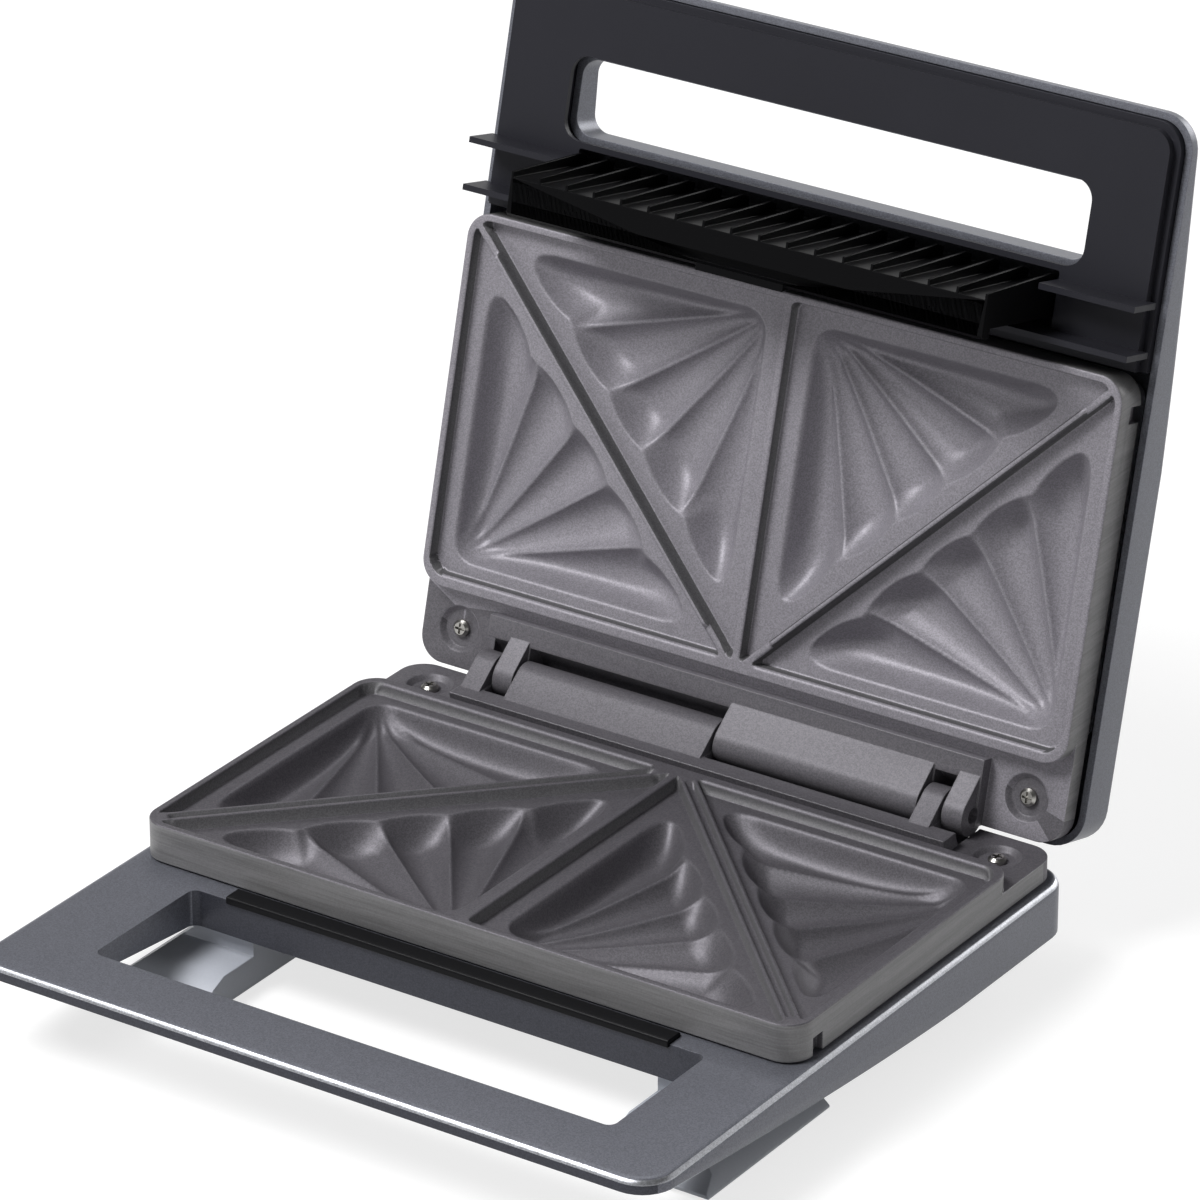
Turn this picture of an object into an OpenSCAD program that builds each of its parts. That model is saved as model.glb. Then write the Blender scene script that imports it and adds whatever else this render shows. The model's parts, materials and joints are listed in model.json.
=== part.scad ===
// Two-cell sandwich toaster, open, with a latched lid.
// Every form is drawn about the hinge axis with the lid shut, parting plane at z = 0,
// and then set on its feet; the lid group is swung open by lid_open.

/* [Cast plates] */
// Width of each cast plate over both cells
plate_w = 250; // [240:1:262]
// Distance from the hinge axis to the front edge of the plates
plate_front = 150.4; // [145:0.2:156]
// Distance from the hinge axis to the rear rim of the cooking field
field_rear = 23.1; // [22:0.1:25]
// Height of the plate's outer wall
plate_h = 12.9; // [12.5:0.1:15]
// Corner radius of the plates
plate_r = 9; // [6:0.5:12]
// Width of the raised rim
rim_w = 2.6; // [2:0.1:4]
// Width of the rim along the rear
rear_rim_w = 4.2; // [3:0.1:6]
// Depth of the flat fields below the rim
rim_h = 4.2; // [3:0.1:5]
// Gap left between the two rims when shut
rim_gap = 0.4; // [0.3:0.1:1]
// Width of the ridge between the two cells
ridge_w = 2.8; // [2:0.1:5]
// Width of the lower plate's diagonal seam, which is grooved
seam_w = 5.6; // [5:0.1:8]
// Width of the groove in the lower seam
groove_w = 3; // [2.4:0.1:3.6]
// Depth of the groove in the lower seam
groove_d = 2.2; // [1.8:0.1:3]
// Width of the upper plate's diagonal seam
upper_seam_w = 2.6; // [2:0.1:4]
// Width of the cutting blade on the upper seam
blade_w = 1.2; // [0.8:0.1:1.6]
// Height of the blade above the upper rim
blade_h = 1.2; // [0.8:0.1:1.4]
// Distance of the blade's ends from the cell corners
blade_end = 18; // [10:1:24]
// Distance of the groove's ends from the cell corners
groove_end = 9; // [6:1:9]
// Distance of the side walls' notches from the plates' front edge
notch_in = 9.2; // [9:0.1:12]
// Width of the notches
notch_w = 5.6; // [4:0.2:8]
// Height of the notches
notch_h = 6.2; // [4:0.2:6.4]
// Depth of the notches
notch_d = 2.4; // [1.6:0.2:2.6]
// Underside skin of the flat fields
skin = 3.2; // [2.5:0.1:4]

/* [Shell pockets] */
// Distance from the cell's edge to a pocket's legs
pocket_in = 9; // [8:0.5:12]
// Distance of a shell's long edge from the middle of the seam
seam_clear = 7.2; // [6.8:0.1:10]
// Depth of the flutes below the flat field
pocket_d = 9.4; // [8:0.2:10]
// Number of flutes in each shell
flutes = 5; // [4:1:6]
// Angle between a pocket's leg and its outermost flute
fan_edge = 7.5; // [6:0.5:9]
// Radius of a flute for each millimetre from the shell's corner
flute_rise = 0.27; // [0.24:0.01:0.32]
// Rounding of a pocket's corners
pocket_r = 8; // [7:0.5:9]
// Slope of a pocket's wall: how far it leans in from edge to floor
wall_lean = 4; // [3:0.5:5]
// Radius of the bulge at each flute's end
bulge_r = 38; // [32:1:50]
// Metal left under the flutes
pocket_skin = 2.6; // [2:0.1:4]
// Metal left around a pocket
boss_wall = 2; // [1.6:0.1:3]

/* [Hinge] */
// Depth of the hinge flange's face below the rim
flange_drop = 6; // [5:0.2:7]
// Reach of the flange behind the hinge axis
flange_rear = 4; // [3:0.1:4.5]
// Depth of the hinge pad's face below the rim
pad_drop = 1; // [0.6:0.1:1.6]
// Distance from the hinge axis to the pad's front edge
pad_front = 18.5; // [17:0.5:20]
// Radius of the hollow that clears the partner's knuckles
hollow_r = 11.2; // [10.6:0.1:11.4]
// Half width over the outer hinge ears
hinge_half = 95.4; // [85:0.2:100]
// Radius of the hinge knuckles
knuckle_r = 7; // [6.6:0.1:7.4]
// Width of each narrow ear
ear_w = 7.6; // [6:0.1:9]
// Side gap between knuckles
knuckle_gap = 1; // [0.8:0.1:1.5]
// Foot of a knuckle's sloping web, in front of the axis
web_foot = 13; // [12:0.5:15]
// Radius of the hinge pin
pin_r = 2.6; // [2:0.1:3.2]
// Running clearance of the upper plate on the pin
pin_clear = 0.08; // [0.05:0.01:0.1]
// Depth of the pin's ends inside the outer ears
pin_recess = 3; // [1:0.5:5]
// Angle between the open lid and the shut lid
lid_open = 104.3; // [90:0.5:106]

/* [Plate screws] */
// Distance of the plate screws from the middle
screw_x = 110.4; // [106:0.2:114]
// Distance of the plate screws in front of the hinge axis
screw_y = 9.2; // [8:0.2:11]
// Radius of a screw head
head_r = 3; // [2.8:0.1:3.6]
// Height of a screw head
head_h = 2; // [1.5:0.1:2.5]
// Length of the bottom cover's screws
cover_screw_len = 10; // [8:0.5:12]
// Radius of a screw's thread
thread_r = 1.7; // [1.5:0.1:2]
// Radius of the round pocket for a plate screw
well_r = 6.4; // [5:0.1:7]
// How much wider the screw pocket is at its mouth
well_lean = 1.6; // [0:0.1:1.8]
// Metal under the screw pocket
well_skin = 5; // [1.5:0.1:5.5]

/* [Base housing] */
// Border of the housings beside the plates
body_side = 3.5; // [1.5:0.1:8]
// Length of the handles in front of the plates
handle_len = 83.6; // [80:0.2:94]
// Distance from the hinge axis to the back of the housings
body_rear = 8; // [7:0.5:10]
// Corner radius of the housings in plan
body_r = 12; // [9:0.5:14]
// Rounding of the housings' long edges
edge_r = 3; // [2:0.2:4]
// Wall thickness of the housings
wall = 2.5; // [2:0.1:3]
// Height of the base housing at the back
base_h = 18.6; // [18:0.2:24]
// Height of the base housing at the tip of its handle
base_tip = 4.8; // [4.4:0.2:7]
// Distance from the hinge axis to where the underside starts to rise
base_flat = 60; // [50:5:80]
// Gap between each plate and its housing
seat_gap = 0.8; // [0.3:0.1:0.9]
// Border of the housing that the plates sit over
seat_w = 4; // [3:0.5:5]

/* [Handle openings] */
// Width of a handle's arm beside its opening
arm_w = 31; // [30:0.5:35]
// Distance from the plates' front edge to the base opening
base_grip_gap = 7.8; // [7.6:0.1:8.4]
// Length of the base opening, front to back
base_grip_d = 51.8; // [47:0.2:56]
// Distance from the plates' front edge to the lid opening
lid_grip_gap = 30.6; // [29.6:0.2:33]
// Length of the lid opening, front to back
lid_grip_d = 25.5; // [22:0.5:30]
// Corner radius of the lid opening
grip_r = 6; // [4:0.5:9]
// Corner radius of the base opening
base_grip_r = 3; // [2:0.5:6]

/* [Latch keeper] */
// Distance from the opening's side to the keeper strip's end
keeper_in = 13.5; // [10.5:0.5:22]
// Depth of the keeper strip, front to back
keeper_d = 6.4; // [4:0.2:6.6]
// Thickness of the keeper strip above the housing
keeper_h = 1.6; // [1:0.2:2.4]
// Overhang of the keeper's nose past the opening's edge
keeper_nose = 1; // [0.4:0.1:1.1]

/* [Feet] */
// Height of the feet
foot_h = 13.5; // [12:0.5:20]
// Distance from the housing's side to the feet's outer bottom edge
leg_side = 11.5; // [8:0.5:18]
// Flare of the feet's outer face from top to bottom
leg_flare = 16; // [8:1:18]
// Width of the feet at the top
leg_w = 24; // [20:1:30]
// Distance from the plates' front edge back to the front legs' rear face
leg_under = 32.4; // [28:0.2:38]
// Length of the front legs, front to back
leg_d = 69; // [64:1:76]
// Length of the rear feet, front to back
rear_foot_d = 46; // [40:1:50]
// Thickness of the rubber pads
pad_t = 1.5; // [1:0.1:2]

/* [Lid housing] */
// Height of the lid housing at the back
lid_h = 16.6; // [16:0.2:22]
// Height of the lid housing at the tip of its handle
lid_tip = 5.6; // [5.4:0.2:8]
// Distance from the hinge axis to where the lid's top starts to fall
lid_flat = 118; // [100:2:130]
// Depth of the handle liner below the housing's edge
liner_drop = 5.4; // [5:0.1:6]
// Thickness of the liner
liner_t = 2; // [1.6:0.1:2.4]
// Width of the step around the liner's face
liner_step = 2.4; // [2:0.1:4]
// Reach of the liner's walls below its face
fin_h = 12.6; // [10:0.2:14]
// Thickness of the liner's walls
fin_t = 2; // [1.6:0.1:2.4]
// Distance from the plates' front edge to the liner's short walls
fin_front_gap = 24.6; // [24.2:0.2:26.6]
// Distance from the plates' front edge to the liner's long wall
fin_rear_gap = 6.6; // [5.6:0.2:7]

/* [Latch] */
// Distance from the base opening's side to the latch's end
latch_side = 7.5; // [5.5:0.5:9.5]
// Reach of the latch below the parting plane
latch_reach = 33; // [32:0.5:38]
// Distance from the plates' front edge to the latch's back face
latch_gap = 11.6; // [11.5:0.1:12]
// Depth of the latch, back to front
latch_d = 9.6; // [9:0.2:10]
// Height of the grip ribs at the latch's tip
rib_h = 2; // [1.4:0.1:2.4]
// Thickness of a grip rib
rib_t = 1; // [0.8:0.1:2]
// Number of grip ribs
ribs = 16; // [10:1:20]
// Width of the catch in the middle of the hook
catch_w = 33; // [20:1:60]
// Projection of the catch past the hook's nose
catch_proud = 1.5; // [0.8:0.1:1.6]
// Gap by which the hook passes the base opening while the lid shuts
pass_gap = 0.35; // [0.3:0.05:0.6]
// Drop of the hook's upper face below the base housing
hook_drop = 1.6; // [1.4:0.1:2.4]
// Thickness of the latch's walls
latch_t = 2; // [1.6:0.1:2.4]
// Radius of the latch's trunnions
trunnion_r = 2.2; // [2:0.1:2.6]
// Height of the latch's pivot above the parting plane
pivot_h = 15; // [14.6:0.1:16]
// Angle through which the latch swings in to hook
latch_swing = 4.5; // [4:0.1:4.5]
// Distance from the latch's back face to its pivot
pivot_in = 5; // [4:0.2:6]

/* [Lamps] */
// Distance of the two lamps from the middle
lamp_x = 14; // [8:1:30]
// Distance of the lamps in front of the plates' edge
lamp_gap = 0.6; // [0:0.2:2]
// Radius of the indicator lamps
lamp_r = 3.1; // [2.6:0.1:3.3]

/* [Inner parts] */
// Diameter of the tubular heating elements
element_d = 6.4; // [5.5:0.1:7]
// Depth of the heat shields below the plates' pocket bosses
shield_d = 8; // [7.6:0.1:8.4]
// Gap between a heat shield's wall and the pocket bosses
shield_gap = 1.5; // [1:0.1:2]
// Sheet thickness of the heat shields
sheet = 0.8; // [0.6:0.1:1]

/* [Hidden] */
$fn = 48;

silver = "#6e7077";
black = "#242428";
eps = 0.01;

// Levels, with the parting plane between the shut plates at zero
rim_top = -rim_gap / 2;
field_z = rim_top - rim_h;
flange_z = rim_top - flange_drop;
hinge_pad_z = rim_top - pad_drop;
plate_bottom = rim_top - plate_h;
boss_z = field_z - pocket_d - pocket_skin;
edge_z = -plate_bottom + seat_gap;
floor_z = edge_z + base_h;
axis_z = floor_z + foot_h;

// Half sizes and the centres of the two cells
half_w = plate_w / 2;
body_x = half_w + body_side;
body_front = plate_front + handle_len;
cell_w = half_w;
cell_d = plate_front - field_rear;
cell_y = -(plate_front + field_rear) / 2;
seam_angle = atan2(cell_d, cell_w);
seam_len = norm([cell_w, cell_d]);
corner_to_seam = (cell_w * cell_d - pocket_in * (cell_w + cell_d)) / seam_len;
pocket_leg = sqrt(2) * (corner_to_seam - seam_clear);
crease_z = 0.8 - pocket_d;
crease_tilt = 2;

// Handle openings, latch, walls and feet, from the plates' front edge and the housings' sides
grip_x = body_x - arm_w;
base_grip_near = plate_front + base_grip_gap;
base_grip_far = base_grip_near + base_grip_d;
lid_grip_near = plate_front + lid_grip_gap;
lid_grip_far = lid_grip_near + lid_grip_d;
keeper_x = grip_x - keeper_in;
latch_x = grip_x - latch_side;
latch_back = plate_front + latch_gap;
latch_face = latch_back + latch_d;
pivot_y = latch_back + pivot_in;
fin_front = plate_front + fin_front_gap;
fin_rear = plate_front + fin_rear_gap;
leg_out = body_x - leg_side;
leg_top = leg_out - leg_flare;
leg_in = leg_top - leg_w;
leg_back = plate_front - leg_under;
leg_front = leg_back + leg_d;
lamp_y = plate_front + lamp_gap;

// Reach of the open lid behind the hinge axis, and the shift that centres the object
lid_tip_y = body_front - edge_r;
lid_tip_z = lid_over(body_front - edge_r) - edge_r;
open_reach = edge_r - lid_tip_y * cos(lid_open) + lid_tip_z * sin(lid_open);
axis_y = (body_front - open_reach) / 2;

// Knuckles of one casting; its partner has the same ones turned about the middle
narrow_out = hinge_half - ear_w;
narrow_in = narrow_out - knuckle_gap - ear_w;
barrel_out = narrow_in - knuckle_gap;
own = [
  [-hinge_half, -narrow_out],
  [-barrel_out, -knuckle_gap / 2],
  [narrow_in, narrow_in + ear_w]
];
other = [for (k = own) [-k[1], -k[0]]];
pad_x = hinge_half + knuckle_gap / 2;

// Height of a housing's sloping face at a distance y in front of the axis
function slope_z(y, flat, tall, tip, bend) =
  y <= flat ? tall : tall - (tall - tip) * pow((y - flat) / (body_front - flat), bend);
function base_under(y) = -(edge_z + slope_z(y, base_flat, base_h, base_tip, 1.5));
function lid_over(y) = edge_z + slope_z(y, lid_flat, lid_h, lid_tip, 1.3);
slope_steps = 12;
function along(from, to) = [for (i = [0 : slope_steps]) from + (to - from) * i / slope_steps];

// ---- helpers ----

// Rectangle with rounded corners, centred on x, from y0 to y1
module rounded(x, y0, y1, r) {
  translate([-x, y0 + r]) square([2 * x, y1 - y0 - 2 * r]);
  translate([-x + r, y0]) square([2 * x - 2 * r, y1 - y0]);
  for (sx = [-1, 1], y = [y0 + r, y1 - r]) {
    translate([sx * (x - r), y]) circle(r);
  }
}

module slab(x, y0, y1, z0, z1, r) {
  translate([0, 0, z0]) linear_extrude(z1 - z0) rounded(x, y0, y1, r);
}

module block(x0, x1, y0, y1, z0, z1) {
  translate([x0, y0, z0]) cube([x1 - x0, y1 - y0, z1 - z0]);
}

// A rod along x
module rod(x0, x1, r) {
  translate([x0, 0, 0]) rotate([0, 90, 0]) cylinder(h = x1 - x0, r = r);
}

// A profile drawn in (y, z) and extruded along x
module side_profile(x0, x1, points) {
  translate([x0, 0, 0]) rotate([90, 0, 90]) linear_extrude(x1 - x0) polygon(points);
}

module mirrored() {
  children();
  mirror([1, 0, 0]) children();
}

module on_base() {
  translate([0, axis_y, axis_z]) children();
}

module on_lid() {
  on_base() rotate([-lid_open, 0, 0]) children();
}

// Flat-headed machine screw with a cross recess, head on top, thread down
module screw(length) {
  difference() {
    union() {
      translate([0, 0, -length]) cylinder(h = length + eps, r = thread_r);
      cylinder(h = head_h * 0.6, r = head_r);
      translate([0, 0, head_h * 0.6]) cylinder(h = head_h * 0.4, r1 = head_r, r2 = head_r * 0.7);
    }
    for (a = [0, 90]) {
      rotate([0, 0, a]) translate([-head_r * 0.6, -0.4, head_h * 0.4]) cube([head_r * 1.2, 0.8, head_h]);
    }
  }
}

// ---- cast plates ----

// Places children at the four pockets: right-angle corner at the origin, legs along x and y
module at_pockets() {
  mirrored() {
    translate([pocket_in, pocket_in - plate_front, 0]) children();
    translate([half_w - pocket_in, -field_rear - pocket_in, 0]) rotate([0, 0, 180]) children();
  }
}

// One shell: flutes fanning out of its right angle, inside sloping walls and a long edge of gentle bulges
module shell_pocket() {
  depth = pocket_d + eps;
  foot_r = pocket_r - wall_lean;
  past = 2;
  reach = pocket_leg + past - (1 + sqrt(2)) * pocket_r;
  rise = atan(flute_rise);
  step = (90 - 2 * fan_edge) / (flutes - 1);
  intersection() {
    hull() {
      for (p = [[pocket_r, pocket_r], [reach, pocket_r], [pocket_r, reach]]) {
        translate([p.x, p.y, -pocket_d]) cylinder(h = depth, r1 = foot_r, r2 = pocket_r, $fn = 32);
      }
    }
    union() {
      for (i = [0 : flutes - 1]) {
        angle = fan_edge + step * i;
        crown = pocket_leg / (cos(angle) + sin(angle));
        back = bulge_r / sqrt(2);
        translate([crown * cos(angle) - back, crown * sin(angle) - back, -pocket_d - eps]) {
          cylinder(h = depth + 2 * eps, r1 = bulge_r - wall_lean, r2 = bulge_r, $fn = 64);
        }
      }
    }
    union() {
      for (i = [0 : flutes - 1]) {
        translate([0, 0, -pocket_d]) rotate([0, 90 - rise, fan_edge + step * i]) {
          translate([0, 0, 4]) cylinder(h = pocket_leg, r1 = 4 * flute_rise, r2 = (pocket_leg + 4) * flute_rise);
        }
      }
      // room above the creases, lower near the corner
      rotate([0, 0, 45]) translate([0, 0, crease_z]) rotate([0, -crease_tilt, 0]) {
        translate([-5, -pocket_leg, 0]) cube([pocket_leg, 2 * pocket_leg, pocket_d]);
      }
    }
  }
}

// Block under a pocket that keeps metal around it
module pocket_boss(top) {
  far = pocket_leg + boss_wall * (1 + sqrt(2));
  translate([0, 0, boss_z]) linear_extrude(top - boss_z) {
    polygon([[-boss_wall, -boss_wall], [far, -boss_wall], [-boss_wall, far]]);
  }
}

// Bar along the diagonal of the right-hand cell, short of its ends by cut
module seam_bar(width, z0, z1, cut) {
  translate([0, -field_rear, 0]) rotate([0, 0, -seam_angle]) {
    block(cut, seam_len - cut, -width / 2, width / 2, z0, z1);
  }
}

// Tapered blade along the top of the right-hand cell's seam
module seam_blade() {
  foot = upper_seam_w / 2;
  tip = blade_w / 2;
  translate([0, -field_rear, 0]) rotate([0, 0, -seam_angle]) {
    side_profile(blade_end, seam_len - blade_end, [
      [-foot, field_z + 1], [-foot, rim_top], [-tip, rim_top + blade_h],
      [tip, rim_top + blade_h], [foot, rim_top], [foot, field_z + 1]
    ]);
  }
}

// Interior of one cell, from the ridge to the rims
module cell_interior(z0, z1) {
  inner_r = plate_r - rim_w;
  x0 = ridge_w / 2;
  mid = (x0 + half_w - rim_w) / 2;
  translate([mid, 0, 0]) {
    slab(half_w - rim_w - mid, rim_w - plate_front, -field_rear - rear_rim_w, z0, z1, inner_r / 2);
  }
}

module knuckle(x0, x1) {
  p = [-web_foot, hinge_pad_z];
  turn = 180 + atan2(-p[1], -p[0]) - acos(knuckle_r / norm(p));
  t = [knuckle_r * cos(turn), knuckle_r * sin(turn)];
  rod(x0, x1, knuckle_r);
  side_profile(x0, x1, [p, [p[0], hinge_pad_z - 2], [flange_rear, hinge_pad_z - 2], [0, 0], t]);
}

// A casting with its cooking side up; seam is "groove" or "blade"
module plate_casting(bore_r, seam) {
  bar_w = seam == "groove" ? seam_w : upper_seam_w;
  difference() {
    union() {
      slab(half_w, -plate_front, -field_rear + plate_r, plate_bottom, flange_z, plate_r);
      slab(half_w, -plate_front, -field_rear, plate_bottom, rim_top, plate_r);
      slab(half_w, -plate_front / 2, flange_rear, plate_bottom, flange_z, plate_r);
      block(-pad_x, pad_x, -pad_front, flange_rear, plate_bottom, hinge_pad_z);
      for (k = own) knuckle(k[0], k[1]);
      at_pockets() pocket_boss(plate_bottom + eps);
    }
    mirrored() difference() {
      cell_interior(field_z, rim_top + eps);
      seam_bar(bar_w, field_z - 1, rim_top + 1, 0);
    }
    if (seam == "groove") {
      mirrored() seam_bar(groove_w, rim_top - groove_d, rim_top + 1, groove_end);
    }
    at_pockets() translate([0, 0, field_z]) shell_pocket();
    difference() {
      slab(half_w - 3, 3 - plate_front, -field_rear, plate_bottom - 1, field_z - skin, plate_r - 3);
      at_pockets() pocket_boss(0);
    }
    for (k = other) {
      rod(k[0] - knuckle_gap / 2, k[1] + knuckle_gap / 2, hollow_r);
    }
    rod(-hinge_half - 1, hinge_half + 1, bore_r);
    mirrored() translate([screw_x, -screw_y, 0]) {
      translate([0, 0, plate_bottom + well_skin]) {
        cylinder(h = flange_z - plate_bottom - well_skin + eps, r1 = well_r, r2 = well_r + well_lean);
      }
      translate([0, 0, plate_bottom - 1]) cylinder(h = plate_h, r = thread_r + 0.3);
    }
    mirrored() block(half_w - notch_d, half_w + 1, notch_in - plate_front, notch_in + notch_w - plate_front,
      plate_bottom - 1, plate_bottom + notch_h);
  }
}

module lower_plate() {
  color("#57555a") on_base() plate_casting(pin_r, "groove");
}

module upper_plate() {
  color("#96939a") on_lid() rotate([0, 180, 0]) {
    plate_casting(pin_r + pin_clear, "blade");
    mirrored() seam_blade();
  }
}

screw_len = plate_h - 1.4;

module plate_screws() {
  mirrored() translate([screw_x, -screw_y, plate_bottom + well_skin]) screw(screw_len);
}

module lower_screws() {
  color("silver") on_base() plate_screws();
}

module upper_screws() {
  color("silver") on_lid() rotate([0, 180, 0]) plate_screws();
}

module hinge_pin() {
  color("silver") on_base() rod(pin_recess - hinge_half, hinge_half - pin_recess, pin_r);
}

// ---- heating ----

// Tubular element, a bowed loop with both terminals at the back
module element() {
  loop_x = half_w * 0.624;
  back_y = cell_y + cell_d * 0.31;
  front_y = cell_y - cell_d * 0.29;
  bend = cell_d * 0.11;
  lead = half_w * 0.173;
  z = boss_z - 0.2 - element_d / 2;
  r = element_d / 2;
  translate([0, 0, z]) {
    translate([bend - loop_x, front_y, 0]) rod(0, 2 * (loop_x - bend), r);
    mirrored() {
      translate([loop_x - bend, front_y + bend, 0]) rotate([0, 0, -90]) rotate_extrude(angle = 90) {
        translate([bend, 0]) circle(r);
      }
      translate([loop_x, front_y + bend, 0]) rotate([-90, 0, 0]) {
        cylinder(h = back_y - front_y - 2 * bend, r = r);
      }
      translate([loop_x - bend, back_y - bend, 0]) rotate_extrude(angle = 90) {
        translate([bend, 0]) circle(r);
      }
      translate([loop_x - bend - lead, back_y, 0]) rod(0, lead, r);
      translate([loop_x - bend - lead - r * 2, back_y, 0]) rod(0, r * 3, r * 0.44);
    }
  }
}

// Shallow sheet pan hung under a plate, its rim just below the casting
module shield() {
  side = pocket_in - boss_wall - shield_gap - sheet;
  x = half_w - side;
  pan = boss_z - shield_d;
  pan_r = plate_r - 4;
  difference() {
    slab(x, side - plate_front, -field_rear - side, pan, field_z - skin - sheet / 2, pan_r);
    slab(x - sheet, side + sheet - plate_front, -field_rear - side - sheet, pan + sheet, 0, pan_r - sheet);
  }
}

module lower_element() {
  color("#4a4644") on_base() element();
}

module lower_shield() {
  color("silver") on_base() shield();
}

module upper_element() {
  color("#4a4644") on_lid() rotate([0, 180, 0]) element();
}

module upper_shield() {
  color("silver") on_lid() rotate([0, 180, 0]) shield();
}

module thermostat() {
  color("#d8d2c4") on_lid() translate([0, cell_y, -boss_z + 0.3]) {
    cylinder(h = 5, r = 9);
    translate([0, 0, 5]) cylinder(h = 1.4, r = 3);
    for (s = [-1, 1]) translate([s * 11 - 4, -3, 0]) cube([8, 6, 1]);
  }
}

module thermal_fuse() {
  color("#efe9dc") on_lid() translate([24, cell_y - 14, -boss_z + 2.3]) {
    rod(0, 16, 2);
    rod(-6, 22, 0.6);
  }
}

// ---- base housing ----

// Corner of a housing in plan: an upright round post with a rounded upper edge
module post(height) {
  cylinder(h = height - edge_r, r = body_r, $fn = 32);
  translate([0, 0, height - edge_r]) rotate_extrude($fn = 32) {
    translate([body_r - edge_r, 0]) intersection() {
      circle(edge_r, $fn = 32);
      square(edge_r);
    }
    square([body_r - edge_r, edge_r]);
  }
}

// Outer form of the base: level rounded top, underside rising toward the handle
module base_outer() {
  hull() {
    mirrored() {
      translate([body_x - body_r, body_rear - body_r, -floor_z]) post(base_h);
      translate([body_x - body_r, body_r - body_front, -edge_z - base_tip]) post(base_tip);
      for (y = along(base_flat, body_front - body_r)) {
        translate([body_x - body_r, -y, base_under(y + body_r)]) cylinder(h = 1, r = body_r, $fn = 32);
      }
    }
  }
}

// Space under a curve that follows the base's underside, raised by lift
module above_underside(lift, x) {
  ys = concat([-body_rear - 5], along(base_flat, body_front + 5));
  side_profile(-x, x, concat(
    [for (y = ys) [-y, base_under(min(y, body_front)) + lift]],
    [[-body_front - 5, 0], [body_rear + 5, 0]]
  ));
}

module grip_hole(near, far, grow, z0, z1, r = grip_r) {
  slab(grip_x + grow, -far - grow, -near + grow, z0, z1, r + grow / 2);
}

cover_t = 2;
post_r = 3.6;
post_front = (seat_w - plate_front - base_grip_near + wall) / 2;
post_back = -field_rear / 3;
post_x = half_w * 0.48;
cover_posts = [
  [-post_x, post_front], [0, post_front], [post_x, post_front], [-post_x, post_back], [post_x, post_back]
];

module base_casing() {
  color(silver) on_base() difference() {
    base_outer();
    // hollow, open below, with a wall around the handle opening
    difference() {
      intersection() {
        slab(body_x - wall, wall - body_front, body_rear - wall, -floor_z - 1, -edge_z - wall, body_r - wall);
        above_underside(-5, body_x);
      }
      grip_hole(base_grip_near, base_grip_far, wall, -floor_z - 2, 0, base_grip_r);
      for (p = cover_posts) {
        translate([p.x, p.y, base_under(-p.y + post_r) + cover_t + 0.1]) cylinder(h = floor_z, r = post_r);
      }
      mirrored() translate([screw_x, -screw_y, base_under(0) + cover_t + 4]) cylinder(h = floor_z, r = post_r);
    }
    grip_hole(base_grip_near, base_grip_far, 0, -floor_z - 2, 0, base_grip_r);
    // well for the lower plate's bosses and shield
    slab(half_w - seat_w, seat_w - plate_front, -field_rear - seat_w, -floor_z - 1, 0, plate_r - 3);
    for (p = cover_posts) {
      translate([p.x, p.y, base_under(-p.y) - 1]) cylinder(h = 11, r = 1.3);
    }
    mirrored() translate([screw_x, -screw_y, plate_bottom + well_skin - screw_len - 1]) {
      cylinder(h = screw_len + 2.5, r = thread_r + 0.2);
    }
    // seat for the keeper strip
    block(-keeper_x, keeper_x, -base_grip_near - 1, keeper_d - base_grip_near, -edge_z - 1, 0);
    // gland hole in the back wall
    translate([gland_x, body_rear - wall - 1, gland_z]) rotate([-90, 0, 0]) cylinder(h = wall + 2, r = gland_r);
  }
}

gland_x = -half_w / 2;
gland_r = 6;
gland_z = -(edge_z + wall + floor_z - cover_t) / 2;

slot_len = cell_d / 7;
slot_w = 3;

module base_cover() {
  color(black) on_base() difference() {
    intersection() {
      slab(body_x - wall - 0.2, wall + 0.2 - body_front, body_rear - wall - 0.2, -floor_z - 1, -edge_z - wall, body_r - wall);
      difference() {
        above_underside(0, body_x);
        above_underside(cover_t, body_x + 1);
      }
    }
    grip_hole(base_grip_near, base_grip_far, wall + 0.2, -floor_z - 2, 0, base_grip_r);
    for (p = cover_posts) {
      translate([p.x, p.y, base_under(-p.y) - 1]) cylinder(h = cover_t + 2, r = thread_r * 0.94);
      translate([p.x, p.y, base_under(-p.y) - 1]) cylinder(h = 1.6, r = head_r * 0.88);
    }
    // rows of air slots under the shield
    for (i = [-5 : 5], y = [cell_y - slot_len, cell_y + slot_len]) {
      translate([i * half_w / 10 - slot_w / 2, y - slot_len / 2, -floor_z - 1]) cube([slot_w, slot_len, 4 * cover_t]);
    }
  }
}

module cover_screws() {
  color("silver") on_base() for (p = cover_posts) {
    translate([p.x, p.y, base_under(-p.y) - 0.2]) {
      cylinder(h = cover_screw_len, r = thread_r * 0.76);
      cylinder(h = 0.6, r = head_r * 0.82);
    }
  }
}

// Strip that edges the near side of the base opening, where the hook passes
module latch_keeper() {
  y_nose = -base_grip_near - keeper_nose;
  y_back = keeper_d - base_grip_near;
  r = keeper_h * 0.6;
  color(black) on_base() {
    difference() {
      block(-keeper_x, keeper_x, y_nose + r, y_back, -edge_z - 1, -edge_z + keeper_h);
      translate([-1.5 * keeper_x, y_back, -edge_z + keeper_h]) rotate([45, 0, 0]) {
        translate([0, -0.5, -0.5]) cube([3 * keeper_x, 1, 1]);
      }
    }
    translate([0, y_nose + r, -edge_z + keeper_h - r]) rod(-keeper_x, keeper_x, r);
    block(-keeper_x, keeper_x, y_nose, y_nose + r + eps, -edge_z - 1, -edge_z + keeper_h - r);
  }
}

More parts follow.
